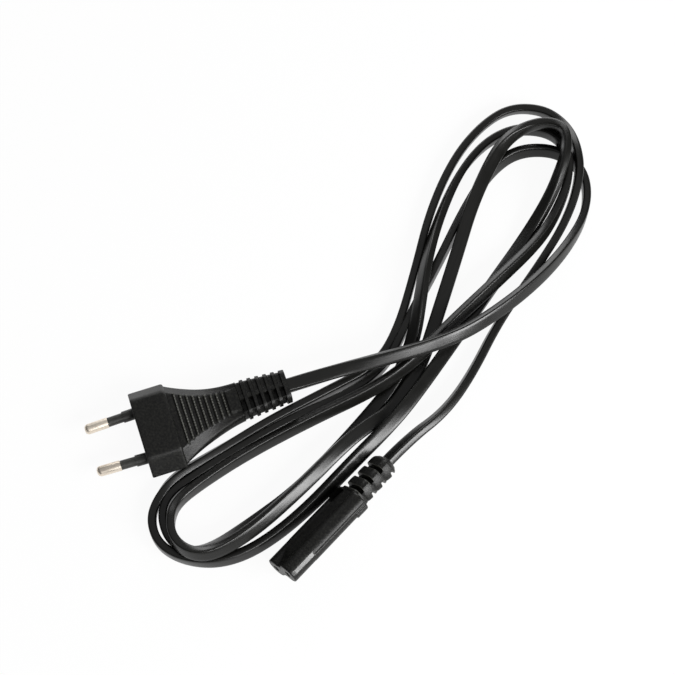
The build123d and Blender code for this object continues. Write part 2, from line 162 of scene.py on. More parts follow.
# Plug: block with a pocket for the pin bridge, waisted grip, strain relief. A section has half widths of its
# flat top and at its edge, half heights of its upright side band and at its top, and the softness of its
# corners. CLEAR keeps rows off the rounded edges, and START, a share of the length, puts a part's first row
# just behind the part before it.
BLOCK = {"flat": 12.0, "edge": 17.65, "band": 0.05, "top": 6.85, "soft": 1.3}
BLOCK_LEN = 13.6
BLOCK_REAR_R = 0.9
BLOCK_FACE_R = 0.5
BLOCK_CLEAR = (1.5, 0.5)
BLOCK_ROWS = 14
POCKET = {"flat": 11.9, "edge": 13.34, "band": 2.4, "top": 3.84, "soft": 1.2}
POCKET_DEPTH = 2.0
GRIP_LEN = 25.7
GRIP_FRONT = {"flat": 11.9, "edge": 16.4, "band": 0.4, "top": 5.6, "soft": 0.5}
GRIP_REAR = {"flat": 4.3, "edge": 7.2, "band": 3.3, "top": 4.4, "soft": 1.2}
GRIP_FLAT_BOW = 0.92
GRIP_SIDE_BOW = 0.7
GRIP_START = 0.001
GRIP_ROWS = 190
RELIEF_LEN = 19.1
RELIEF_FRONT = {"edge": 7.7, "top": 4.3}
RELIEF_REAR = {"edge": 6.35, "top": 3.8}
RELIEF_CORNER = 1.7
RELIEF_SOFT = 2.2
RELIEF_START = 0.004
RELIEF_ROWS = 170
# Shares of a section's height where its top begins and where it is in full
TOP_FROM, TOP_FULL = 0.7, 0.92
# Ribs of the grip: a clipped cosine (middle and swing) along the axis, fading at the ends, with small bumps
RIB_COUNT = 9
RIB_PITCH = 2.16
RIB_FIRST = 16.4
RIB_HEIGHT = 0.8
RIB_MIDDLE, RIB_SWING = 0.2, 0.95
RIB_SOFT = 0.1
RIB_FADE = (0.1, 0.2)
RIB_BUMP = 1.15
RIB_BUMP_SHARE = 0.2
# Smooth plate between ribs and strain relief
PLATE_FROM = 34.7
PLATE_HALF = 4.5
PLATE_SOFT = 0.2
# Rings of the strain relief, and the windows between spine and rails: shallow on one side, deep on the other
RING_COUNT = 7
RING_PITCH = 3.05
RING_LEN = 1.4
END_RING_LEN = 2.0
RING_DEPTH = 1.3
RING_RISE = 0.3
SPINE_HALF = 0.95
RAIL_W = 0.6
WINDOW_DEPTHS = (0.5, 2.3)
WINDOW_SOFT = 0.15
# Bend of the soft rear end: where it starts, how far it goes, its shares of S-curve and straight line, and the
# length of the S-curve
BEND_FROM = 24.0
BEND_ASIDE = -0.6
BEND_UP = 2.0
BEND_CURVED, BEND_STRAIGHT = 0.8, 0.2
BEND_CURVE_LEN = 22.0
# Points along each of the eight sides, on each corner, and the most of a side that a corner may take
SIDE_FILL = (2, 6, 84, 6, 2, 6, 84, 6)
ARC_POINTS = 5
CORNER_SHARE = 0.46

# Pins: toed in, a solid tip, a thinner shank in the sleeve, and a barrel that takes the conductor. A row ahead
# of the sleeve keeps the shading of the tip even.
PIN_SPACING = 18.6
PIN_TIP_SPACING = 17.5
PIN_LEN = 19.0
PIN_R = 2.0
PIN_END_R = 1.5
PIN_END_ROWS = 9
PIN_ROW_AHEAD = 2.0
SLEEVE_LEN = 10.0
SHANK_R = 1.5
BRIDGE_DEPTH = 7.0
BARREL_LEN = 5.5
BARREL_R = 1.7
CRIMP_DEPTH = 4.0
CONDUCTOR_R = 0.45
PIN_COLUMNS = 48

# Connector: two lobes and the waist between them. Here the pocket for the hard insert and the nose, whose waist
# fills out to the body's between two stations. FROM and GAP keep rows off a rounded edge and the next part.
LOBE_AT = 4.3
INSERT_R = 3.1
INSERT_WAIST = 2.08
INSERT_POCKET = 2.0
NOSE_R = 3.93
NOSE_WAIST = 2.5
NOSE_LEN = 11.0
NOSE_EDGE_R = 0.45
NOSE_FROM = 0.8
NOSE_GAP = 0.05
NOSE_FILL_OUT = (0.5, 8.0)
NOSE_ROWS = 30
# Polished flat on each side of the nose: distance from the lobe's centre, direction and half angle in radians,
# and how far from the face it starts and past the nose it ends
NOSE_FLAT = 3.84
NOSE_FLAT_AT = 0.12
NOSE_FLAT_HALF = 0.19
NOSE_FLAT_FROM = 0.9
NOSE_FLAT_PAST = 0.4
# Body, with the parting line and the low pad on its sides (angles in radians), and its rounded shoulder
BODY_R = 4.0
BODY_WAIST = 3.75
BODY_END = 38.6
BODY_GAP = 0.1
BODY_ROWS = 120
SEAM_DEPTH = 0.16
SEAM_ANGLE = 0.05
SEAM_CLEAR = 0.5
PAD_FROM = 32.8
PAD_CLEAR = 0.4
PAD_RISE = 0.5
PAD_ANGLES = (-1.3, -0.3)
PAD_SOFT_ANGLE = 0.2
SHOULDER_LEN = 1.0
SHOULDER_ROWS = 14
# Thumb recesses of the body
THUMB_AT = 34.3
THUMB_ASIDE = 3.6
THUMB_R = 3.3
THUMB_FLOOR = 2.9
THUMB_SLOPE = 0.45
# Tail: it bulges between slots, narrows to the rear, and is rounded off there by shares of the end radius
TAIL_SIDE = 3.1
TAIL_RISE = 1.4
TAIL_R = 2.4
TAIL_END_R = 2.4
TAIL_GAP = 0.08
TAIL_ROWS = 150
TAIL_BULGE = 0.5
TAIL_BULGE_UP = 0.5
TAIL_NARROWS = 0.4
TAIL_CLOSE_SIDE, TAIL_CLOSE_RISE, TAIL_CLOSE_R = 0.7, 0.3, 0.5
# Slots of the tail, and the rims beside them, which carry a painted highlight
SLOT_COUNT = 3
SLOT_PITCH = 5.3
SLOT_LEN = 1.6
SLOT_FROM = 39.5
SLOT_STAGGER = 3.4
SLOT_FLOOR = 1.3
SLOT_SOFT = 0.2
RIM_W = 0.25
RIM_DEPTH = 0.2
RIM_RISE = 0.3
# Columns round a lobe and along a waist
LOBE_COLUMNS = 113
WAIST_COLUMNS = 22


def linear(code):
    """sRGB hex colour as linear red, green, blue and alpha."""
    raw = np.array([int(code[i:i + 2], 16) for i in (1, 3, 5)]) / 255
    flat = np.where(raw <= 0.04045, raw / 12.92, ((raw + 0.055) / 1.055) ** 2.4)
    return (*[float(v) for v in flat], 1.0)


def add(tree, kind, inputs=None, **settings):
    """Adds a node: settings are its own properties, inputs are values or the outputs that feed its sockets."""
    made = tree.nodes.new(kind)
    for name, value in settings.items():
        setattr(made, name, value)
    for key, value in (inputs or {}).items():
        if isinstance(value, bpy.types.NodeSocket):
            tree.links.new(value, made.inputs[key])
        else:
            made.inputs[key].default_value = value
    return made


def unit(vectors):
    """Vectors at length 1."""
    return vectors / np.linalg.norm(vectors, axis=-1, keepdims=True)


def smooth_step(value, low, high):
    """0 below low, 1 above high, and an even S-curve between."""
    t = np.clip((value - low) / (high - low), 0, 1)
    return t * t * (3 - 2 * t)


def smooth_box(value, low, high, soft):
    """1 between low and high, 0 outside, with edges that are soft wide."""
    rise = smooth_step(value, low - soft / 2, low + soft / 2)
    fall = smooth_step(value, high - soft / 2, high + soft / 2)
    return rise * (1 - fall)


def beyond(value, limit, soft):
    """0 where a value, of either sign, is within the limit and 1 past it, changing over soft to either side."""
    return smooth_step(np.abs(value), limit - soft, limit + soft)


def taper(t, front, rear):
    """Straight change from front to rear along t = 0..1."""
    return front + (rear - front) * t


def flare(t, front, rear, bow):
    """Width that falls from front to rear along t = 0..1, hollow where bow is above zero."""
    return rear + (front - rear) * (1 - t) * (1 - bow * t)


def stations(along, *values):
    """Table with a row for each place along an axis: the place, and then the values there."""
    return np.stack(np.broadcast_arrays(np.asarray(along, dtype=float), *values), axis=-1)


def skin(name, grid, uv=None, painted_highlight=None, crease=40):
    """Mesh object over a grid (rows, columns, 3) in metres: columns close on themselves, a fan closes each end.

    uv is kept as the map "run", and a painted highlight as an attribute of the points: 1 where an edge is
    painted lighter, as if lit. Edges that turn by more than crease, in degrees, are shaded as sharp.
    """
    rows, columns = grid.shape[:2]
    points = np.concatenate([grid.reshape(-1, 3), grid[:1].mean(axis=1), grid[-1:].mean(axis=1)])
    here = np.arange(rows * columns).reshape(rows, columns)
    beside = np.roll(here, -1, axis=1)
    quads = np.stack([here[:-1], here[1:], beside[1:], beside[:-1]], axis=-1).reshape(-1, 4)
    first, last = rows * columns, rows * columns + 1
    front = np.stack([here[0], beside[0], np.full(columns, first)], axis=-1)
    back = np.stack([beside[-1], here[-1], np.full(columns, last)], axis=-1)
    mesh = bpy.data.meshes.new(name)
    mesh.from_pydata(points.tolist(), [], quads.tolist() + front.tolist() + back.tolist())
    mesh.polygons.foreach_set("use_smooth", np.ones(len(mesh.polygons), dtype=bool))
    if uv is not None:
        layer = mesh.uv_layers.new(name="run")
        corner = np.empty(len(mesh.loops), dtype=np.int32)
        mesh.loops.foreach_get("vertex_index", corner)
        of_points = np.concatenate([uv.reshape(-1, 2), uv[0, :1], uv[-1, :1]])
        layer.data.foreach_set("uv", of_points[corner].astype(np.float32).ravel())
    if painted_highlight is not None:
        layer = mesh.attributes.new("painted_highlight", "FLOAT", "POINT")
        layer.data.foreach_set("value", np.append(painted_highlight.ravel(), [0, 0]).astype(np.float32))
    mesh.set_sharp_from_angle(angle=radians(crease))
    mesh.update()
    made = bpy.data.objects.new(name, mesh)
    bpy.context.collection.objects.link(made)
    return made


def on_sheet(points):
    """Points of the layout sheet in the part's frame, still in millimetres."""
    return np.asarray(points, dtype=float) - np.array([*LAYOUT_ORIGIN, 0.0])


def axes(yaw, roll):
    """Back along the axis, across it, and up from its broad face, of an end that is yawed and then rolled."""
    y, r = radians(yaw), radians(roll)
    back = np.array([cos(y), sin(y), 0])
    side = np.array([sin(y), -cos(y), 0])
    across = cos(r) * side + sin(r) * np.array([0, 0, 1.0])
    up = -sin(r) * side + cos(r) * np.array([0, 0, 1.0])
    return back, across, up


def placed(along, across, up, origin, frame_axes):
    """Local millimetres as points in metres: origin plus each coordinate times its axis."""
    local = np.stack(np.broadcast_arrays(along, across, up), axis=-1)
    return (on_sheet(origin) + local @ np.array(frame_axes)) * MM


PLUG_AXES = axes(PLUG_YAW, 0)
CONNECTOR_AXES = axes(CONNECTOR_YAW, CONNECTOR_ROLL)


def spline_points(controls):
    """Points along the quadratic NURBS spline of these control points, read from a curve with no bevel."""
    curve = bpy.data.curves.new("route", "CURVE")
    curve.dimensions = "3D"
    spline = curve.splines.new("NURBS")
    spline.points.add(len(controls) - 1)
    spline.points.foreach_set("co", np.c_[controls, np.ones(len(controls))].ravel())
    spline.order_u = 3
    spline.use_endpoint_u = True
    curve.resolution_u = CORD_STEPS
    spline.resolution_u = CORD_STEPS
    holder = bpy.data.objects.new("route", curve)
    mesh = bpy.data.meshes.new_from_object(holder)
    points = np.empty(len(mesh.vertices) * 3)
    mesh.vertices.foreach_get("co", points)
    bpy.data.meshes.remove(mesh)
    bpy.data.objects.remove(holder)
    bpy.data.curves.remove(curve)
    return points.reshape(-1, 3)


def cord_route():
    """Control points in metres and their rolls; a middle is the underside plus half the rolled height."""
    inner = np.array(ROUTE, dtype=float)
    lean = np.radians(inner[:, 3])
    corner = np.array([CORD_W / 2 - CORD_CORNER_R, CORD_H / 2 - CORD_CORNER_R])
    inner[:, 2] += np.abs(np.c_[np.sin(lean), np.cos(lean)]) @ corner + CORD_CORNER_R
    start = [PLUG_LEN - CORD_INSIDE, PLUG_LEN + CORD_LEAD]
    end = [CONNECTOR_LEN + CONNECTOR_LEAD, CONNECTOR_LEN - CORD_INSIDE]
    points = np.concatenate([
        placed(start, BEND_ASIDE, BEND_UP, PLUG_FACE_AT, PLUG_AXES),
        on_sheet(inner[:, :3]) * MM,
        placed(end, 0.0, 0.0, CONNECTOR_FACE_AT, CONNECTOR_AXES),
    ])
    rolls = np.concatenate([PLUG_END_ROLLS, inner[:, 3], [CONNECTOR_END_ROLL] * 2])
    return points, rolls


def flat_cord():
    """Rounded-rectangle profile carried along the spline; also returns the spline's points.

    The profile is corner_r * (cos, sin) of the angle plus a corner centre that slides between the corners.
    At each point it is turned by the roll, which a second spline with the same knots carries along. The map has
    the way gone along the cord and the way round, there and back, so that it closes without a seam.
    """
    controls, rolls = cord_route()
    path = spline_points(controls)
    roll = np.radians(spline_points(np.c_[rolls, rolls * 0, rolls * 0])[:, 0])[:, None]
    run = unit(np.gradient(path, axis=0))
    right = unit(np.cross(run, [0, 0, 1.0]))
    up = np.cross(right, run)
    broad = np.cos(roll) * right - np.sin(roll) * up
    face = np.sin(roll) * right + np.cos(roll) * up
    angle = np.arange(CORD_COLUMNS) * 2 * pi / CORD_COLUMNS
    x, y = (
        (size / 2 - CORD_CORNER_R) * np.clip(CORD_SLIDE * turn, -1, 1) + CORD_CORNER_R * turn
        for size, turn in ((CORD_W, np.cos(angle)), (CORD_H, np.sin(angle)))
    )
    grid = path[:, None] + MM * (x[:, None] * broad[:, None] + y[:, None] * face[:, None])
    gone = np.concatenate([[0], np.cumsum(np.linalg.norm(np.diff(path, axis=0), axis=1))])
    around = np.abs(np.arange(CORD_COLUMNS) / CORD_COLUMNS - 0.5) * CORD_MAP_ROUND * MM
    uv = np.stack(np.broadcast_arrays(gone[:, None], around[None]), axis=-1)
    return skin("flat_cord", grid[:, ::-1], uv[:, ::-1]), path


def softened(corners, soft, fills):
    """Outlines (rows, columns, 2) of polygons with softened corners.

    A corner is the quadratic curve (1-t)^2 arrive + 2t(1-t) corner + t^2 leave, where arrive and leave lie
    soft before and after it. Side i is filled with fills[i] evenly spaced points.
    """
    after = np.roll(corners, -1, axis=1) - corners
    length = np.linalg.norm(after, axis=2, keepdims=True)
    way = after / length
    shorter = np.minimum(length, np.roll(length, 1, axis=1))
    reach = np.minimum(soft[:, None, None], CORNER_SHARE * shorter)
    leave = corners + way * reach
    arrive = corners - np.roll(way, 1, axis=1) * reach
    ahead = np.roll(arrive, -1, axis=1)
    t = np.linspace(0, 1, ARC_POINTS)[:, None]
    columns = []
    for i, fill in enumerate(fills):
        a, v, b, n = (part[:, i, None] for part in (arrive, corners, leave, ahead))
        s = np.linspace(0, 1, fill + 2)[1:-1, None]
        columns += [(1 - t) ** 2 * a + 2 * t * (1 - t) * v + t ** 2 * b, b + (n - b) * s]
    return np.concatenate(columns, axis=1)


def eight_corners(flat, edge, band, top):
    """Corners of the plug's eight-sided sections: upright side bands, slanted facets, flat top and base."""
    right = [(edge, -band), (edge, band), (flat, top)]
    left = [(-edge, band), (-edge, -band), (-flat, -top)]
    around = right + [(-flat, top)] + left + [(flat, -top)]
    return np.stack([np.stack(np.broadcast_arrays(x, z), axis=-1) for x, z in around], axis=1)


def block_rows(along, inset):
    """Stations of the plug's block, whose section is drawn in by inset where an edge is rounded."""
    flat, edge, top = (BLOCK[k] - inset for k in ("flat", "edge", "top"))
    return stations(along, flat, edge, BLOCK["band"], top, BLOCK["soft"])


def plug_rows():
    """Stations of the plug's skin from the pocket's floor to the cord: flat, edge, band, top and softness."""
    size = [POCKET[k] for k in ("flat", "edge", "band", "top", "soft")]
    pocket = stations([POCKET_DEPTH, POCKET_DEPTH / 2, 0.0], *size)
    turn = np.linspace(0, pi / 2, EDGE_ROWS)
    back, inset = 1 - np.sin(turn), 1 - np.cos(turn)
    face = block_rows(BLOCK_FACE_R * back, BLOCK_FACE_R * inset)[::-1]
    at = np.linspace(BLOCK_CLEAR[0], BLOCK_LEN - BLOCK_REAR_R - BLOCK_CLEAR[1], BLOCK_ROWS)
    block = block_rows(at, 0.0)
    rear = block_rows(BLOCK_LEN - BLOCK_REAR_R * back, BLOCK_REAR_R * inset)
    t = np.linspace(GRIP_START, 1, GRIP_ROWS)
    band, top, soft = (taper(t, GRIP_FRONT[k], GRIP_REAR[k]) for k in ("band", "top", "soft"))
    flat = flare(t, GRIP_FRONT["flat"], GRIP_REAR["flat"], GRIP_FLAT_BOW)
    edge = flare(t, GRIP_FRONT["edge"], GRIP_REAR["edge"], GRIP_SIDE_BOW)
    grip = stations(BLOCK_LEN + t * GRIP_LEN, flat, edge, band, top - RIB_HEIGHT, soft)
    t = np.linspace(RELIEF_START, 1, RELIEF_ROWS)
    edge, top = (taper(t, RELIEF_FRONT[k], RELIEF_REAR[k]) for k in ("edge", "top"))
    at = PLUG_LEN - RELIEF_LEN * (1 - t)
    relief = stations(at, edge - RELIEF_CORNER, edge, top - RELIEF_CORNER, top, RELIEF_SOFT)
    return np.concatenate([pocket, face, block, rear, grip, relief])


def relief_bend(along):
    """Share 0..1 of the strain relief's bend at a station: an even S-curve and a straight part."""
    curve = smooth_step(along, BEND_FROM, BEND_FROM + BEND_CURVE_LEN)
    straight = np.clip((along - BEND_FROM) / (PLUG_LEN - BEND_FROM), 0, 1)
    return BEND_CURVED * curve + BEND_STRAIGHT * straight


def plug_overmould():
    """Skin of the plug: eight-sided sections along its axis, with ribs, rings and windows worked into them.

    Ribs lift the top and underside by a clipped cosine of the station, each as far out as the flat is wide at
    its crest. Between rings the sides move in and the top sinks, with a shallow and a deep row of windows.
    """
    along, flat, edge, band, top, soft = plug_rows().T
    outline = softened(eight_corners(flat, edge, band, top), soft, SIDE_FILL)
    across, up = outline[..., 0], outline[..., 1]
    a = along[:, None]
    way = np.sign(up)
    high = smooth_step(np.abs(up) / top[:, None], TOP_FROM, TOP_FULL)
    # ribs and the smooth plate behind them
    number = np.clip(np.round((a - RIB_FIRST) / RIB_PITCH), 0, RIB_COUNT - 1)
    t = (RIB_FIRST + number * RIB_PITCH - BLOCK_LEN) / GRIP_LEN
    reach = flare(t, GRIP_FRONT["flat"], GRIP_REAR["flat"], GRIP_FLAT_BOW)
    crest = np.clip(RIB_MIDDLE + RIB_SWING * np.cos(2 * pi * (a - RIB_FIRST) / RIB_PITCH), 0, 1)
    last = RIB_FIRST + (RIB_COUNT - 0.5) * RIB_PITCH
    crest = crest * smooth_box(a, RIB_FIRST - RIB_PITCH / 2, last, RIB_SOFT)
    rib = crest * (1 - smooth_step(np.abs(across), reach - RIB_FADE[0], reach + RIB_FADE[1]))
    rib = rib * (1 - RIB_BUMP_SHARE + RIB_BUMP_SHARE * np.cos(2 * pi * across / RIB_BUMP))
    plate = smooth_box(a, PLATE_FROM, PLUG_LEN - RELIEF_LEN, STEP_SOFT)
    plate = plate * (1 - beyond(across, PLATE_HALF, PLATE_SOFT))
    up = up + way * high * RIB_HEIGHT * np.maximum(rib, plate)
    # rings and windows
    rings = PLUG_LEN - END_RING_LEN - RING_PITCH * np.arange(RING_COUNT)
    gap = sum(smooth_box(a, ring + RING_LEN - RING_PITCH, ring, STEP_SOFT) for ring in rings[:-1])
    rail = edge[:, None] - RING_DEPTH - RAIL_W
    window = beyond(across, SPINE_HALF, WINDOW_SOFT) * (1 - beyond(across, rail, WINDOW_SOFT))
    depth = np.where(across * way > 0, WINDOW_DEPTHS[1], WINDOW_DEPTHS[0])
    up = up - way * high * gap * (RING_RISE + depth * window)
    across = np.sign(across) * np.minimum(np.abs(across), edge[:, None] - RING_DEPTH * gap)
    # the soft rear end gives way to the cord, which climbs over the bundle
    bend = relief_bend(a)
    grid = placed(a, across + BEND_ASIDE * bend, up + BEND_UP * bend, PLUG_FACE_AT, PLUG_AXES)
    # painted highlight: the rib crests are marked to be painted a lighter grey, as if they caught the light
    return skin("plug_overmould", grid, painted_highlight=high * rib ** 2)


def turned_pin(name, far):
    """One pin: radii along its axis turned through a full circle, a quarter circle rounding its tip.

    far is 1 for the pin on the far side and -1 for the near one. Both lean towards each other at their tips.
    """
    turn = np.linspace(0, pi / 2, PIN_END_ROWS)
    rear = BRIDGE_DEPTH + BARREL_LEN
    along = np.concatenate([
        -PIN_LEN + PIN_END_R * (1 - np.cos(turn)),
        [-SLEEVE_LEN - PIN_ROW_AHEAD, -SLEEVE_LEN, -SLEEVE_LEN, BRIDGE_DEPTH],
        [BRIDGE_DEPTH, rear, rear, rear - CRIMP_DEPTH],
    ])[:, None]
    r = np.concatenate([
        PIN_R - PIN_END_R * (1 - np.sin(turn)),
        [PIN_R, PIN_R, SHANK_R, SHANK_R],
        [BARREL_R, BARREL_R, CONDUCTOR_R, CONDUCTOR_R],
    ])[:, None]
    angle = np.arange(PIN_COLUMNS) * 2 * pi / PIN_COLUMNS
    lean = (PIN_SPACING - PIN_TIP_SPACING) / 2 / PIN_LEN
    across = -far * (PIN_SPACING / 2 + lean * along) + r * np.cos(angle)
    return skin(name, placed(along, across, r * np.sin(angle), PLUG_FACE_AT, PLUG_AXES))


def opening(waist, r):
    """Angle to either side at which a lobe of radius r comes down to the height of the waist."""
    return pi - np.arcsin(waist / r)


def connector_rows():
    """Stations of the connector's skin from the pocket's floor to the cord.

    Each has how far aside a lobe's centre lies, the lobe's rise, its radius and the angle at which it opens.
    """
    turn = np.linspace(0, pi / 2, EDGE_ROWS)
    body_open = opening(BODY_WAIST, BODY_R)
    at = [INSERT_POCKET, INSERT_POCKET / 2, 0.0]
    pocket = stations(at, LOBE_AT, 0.0, INSERT_R, opening(INSERT_WAIST, INSERT_R))
    r = NOSE_R - NOSE_EDGE_R * (1 - np.sin(turn))
    edge = stations(NOSE_EDGE_R * (1 - np.cos(turn)), LOBE_AT, 0.0, r, opening(NOSE_WAIST, NOSE_R))
    at = np.linspace(NOSE_FROM, NOSE_LEN - NOSE_GAP, NOSE_ROWS)
    waist = taper(smooth_step(at, *NOSE_FILL_OUT), NOSE_WAIST, BODY_WAIST)
    nose = stations(at, LOBE_AT, 0.0, NOSE_R, opening(waist, NOSE_R))
    at = np.linspace(NOSE_LEN, BODY_END - SHOULDER_LEN - BODY_GAP, BODY_ROWS)
    body = stations(at, LOBE_AT, 0.0, BODY_R, body_open)
    t = np.linspace(0, 1, SHOULDER_ROWS)
    fall = 1 - np.sqrt(1 - t ** 2)
    shoulder = stations(
        BODY_END - SHOULDER_LEN * (1 - t), taper(fall, LOBE_AT, TAIL_SIDE), taper(fall, 0, TAIL_RISE),
        taper(fall, BODY_R, TAIL_R), taper(fall, body_open, pi / 2),
    )
    at = np.linspace(BODY_END + TAIL_GAP, CONNECTOR_LEN, TAIL_ROWS)
    wave = np.sqrt(np.abs(np.sin(pi * (at - SLOT_FROM - SLOT_LEN / 2) / SLOT_PITCH)))
    bulge = TAIL_BULGE * (wave - 0.5) - TAIL_NARROWS * (at - BODY_END) / (CONNECTOR_LEN - BODY_END)
    end = np.clip((at - CONNECTOR_LEN + TAIL_END_R) / TAIL_END_R, 0, 1)
    close = TAIL_END_R * (1 - np.sqrt(1 - end ** 2))
    tail = stations(
        at, TAIL_SIDE + bulge - TAIL_CLOSE_SIDE * close,
        TAIL_RISE + TAIL_BULGE_UP * bulge - TAIL_CLOSE_RISE * close, TAIL_R - TAIL_CLOSE_R * close, pi / 2,
    )
    return np.concatenate([pocket, edge, nose, body, shoulder, tail])


def connector_overmould():
    """Skin of the connector: two lobes joined by a waist, along its axis.

    A lobe is side + r * cos across and rise * clipped 2 sin + r * sin up, for angles from -open to +open;
    straight lines join the two lobes. Open past 90 degrees gives a figure eight, 90 with a rise a rounded
    rectangle. Slots cut the tail flat in turn from both broad faces, and a round thumb recess each face of the
    body. The sides carry a flat on the nose, a parting line and a low pad.
    """
    along, side, rise, r, open_at = (column[:, None] for column in connector_rows().T)
    angle = open_at * np.linspace(-1, 1, LOBE_COLUMNS)
    seam = SEAM_DEPTH * np.exp(-(angle / SEAM_ANGLE) ** 2)
    seam = seam * smooth_box(along, NOSE_LEN + SEAM_CLEAR, BODY_END - SEAM_CLEAR, STEP_SOFT)
    pad = PAD_RISE * smooth_box(angle, *PAD_ANGLES, PAD_SOFT_ANGLE)
    pad = pad * smooth_box(along, PAD_FROM, BODY_END - PAD_CLEAR, STEP_SOFT)
    turned = angle - NOSE_FLAT_AT
    flat = (along > NOSE_FLAT_FROM) & (along < NOSE_LEN + NOSE_FLAT_PAST) & (np.abs(turned) < NOSE_FLAT_HALF)
    r = np.where(flat, NOSE_FLAT / np.cos(turned), r) - seam + pad
    right = side + r * np.cos(angle)
    height = rise * np.clip(2 * np.sin(angle), -1, 1) + r * np.sin(angle)
    step = np.linspace(1, -1, WAIST_COLUMNS + 2)[1:-1]
    across = np.concatenate([right, right[:, -1:] * step, -right, -right[:, -1:] * step], axis=1)
    waist = np.broadcast_to(height[:, -1:], (len(along), WAIST_COLUMNS))
    up = np.concatenate([height, waist, -height, -waist], axis=1)
    way = np.sign(up)
    # thumb recesses: upper face on the left lobe, lower face on the right one
    recess = np.hypot(along - THUMB_AT, across + way * THUMB_ASIDE) < THUMB_R
    floor = THUMB_FLOOR + THUMB_SLOPE * (across * way + THUMB_ASIDE)
    up = np.where(recess, way * np.minimum(np.abs(up), floor), up)
    # slots of the tail, with a painted highlight on the rims beside them
    painted_highlight = np.zeros_like(up)
    for i in range(SLOT_COUNT):
        for face, lag in ((1, 0.0), (-1, SLOT_STAGGER)):
            start = SLOT_FROM + i * SLOT_PITCH + lag
            stop = start + SLOT_LEN
            depth = smooth_box(along, start, stop, SLOT_SOFT) * np.maximum(np.abs(up) - SLOT_FLOOR, 0)
            rim = smooth_box(along, start - RIM_W, stop + RIM_W, SLOT_SOFT) * (depth < RIM_DEPTH)
            painted_highlight = np.maximum(painted_highlight, rim * (way == face) * (np.abs(up) > SLOT_FLOOR + RIM_RISE))
            up = up - face * depth * (way == face)
    made = skin("connector_overmould", placed(along, across, up, CONNECTOR_FACE_AT, CONNECTOR_AXES), painted_highlight=painted_highlight)
    # second finish on the two flats: their polish, and a painted sheen in a lighter tone
    plain = np.zeros_like(waist, dtype=bool)
    polished = np.concatenate([flat, plain, flat, plain], axis=1)[:-1].ravel()
    index = np.zeros(len(made.data.polygons), dtype=np.int32)
    index[:polished.size] = polished
    made.data.polygons.foreach_set("material_index", index)
    return made


def material(name):
    """Node material with nothing in it yet, and its tree."""
    made = bpy.data.materials.new(name)
    made.use_nodes = True
    made.node_tree.nodes.clear()
    return made, made.node_tree


def soft_pvc_overmould():
    """Soft PVC moulded in a spark-eroded tool: black and matt with a grain, and a painted highlight of lighter
    grey on rib crests and slot rims.

    A real grain of about 0.1 mm is too fine to show, so it is drawn at 0.8 mm. Clouds of 12 mm vary the gloss.
    """
    grain_mm, cloud_mm, bump_mm = 0.8, 12.0, 0.2
    made, tree = material("soft_pvc_overmould")
    place = add(tree, "ShaderNodeTexCoord").outputs["Object"]
    grain = add(tree, "ShaderNodeTexNoise", {
        "Vector": place, "Scale": 1 / (grain_mm * MM), "Detail": 2.0, "Roughness": 0.7,
    })
    clouds = add(tree, "ShaderNodeTexNoise", {"Vector": place, "Scale": 1 / (cloud_mm * MM), "Detail": 3.0})
    tone = add(tree, "ShaderNodeMapRange", {"Value": grain.outputs["Fac"], "From Min": 0.4, "From Max": 0.68})
    colour = add(tree, "ShaderNodeMix", {
        MIX_FACTOR: tone.outputs["Result"], MIX_A: linear("#040404"), MIX_B: linear("#1d1d1a"),
    }, data_type="RGBA")
    # painted highlight: where the mesh marks an edge, the colour is mixed towards a lighter grey as if it
    # caught the light
    painted_highlight_node = add(tree, "ShaderNodeAttribute", attribute_name="painted_highlight")
    colour = add(tree, "ShaderNodeMix", {
        MIX_FACTOR: painted_highlight_node.outputs["Fac"], MIX_A: colour.outputs[MIX_RESULT], MIX_B: linear("#4a4a45"),
    }, data_type="RGBA")
    rough = add(tree, "ShaderNodeMapRange", {
        "Value": clouds.outputs["Fac"], "From Min": 0.3, "From Max": 0.7, "To Min": 0.38, "To Max": 0.48,
    })
    bump = add(tree, "ShaderNodeBump", {
        "Height": grain.outputs["Fac"], "Strength": 0.4, "Distance": bump_mm * MM,
    })
    shader = add(tree, "ShaderNodeBsdfPrincipled", {
        "Base Color": colour.outputs[MIX_RESULT], "Roughness": rough.outputs["Result"],
        "Normal": bump.outputs["Normal"], "IOR": 1.53, "Specular IOR Level": 0.28,
    })
    add(tree, "ShaderNodeOutputMaterial", {"Surface": shader.outputs[0]})
    return made


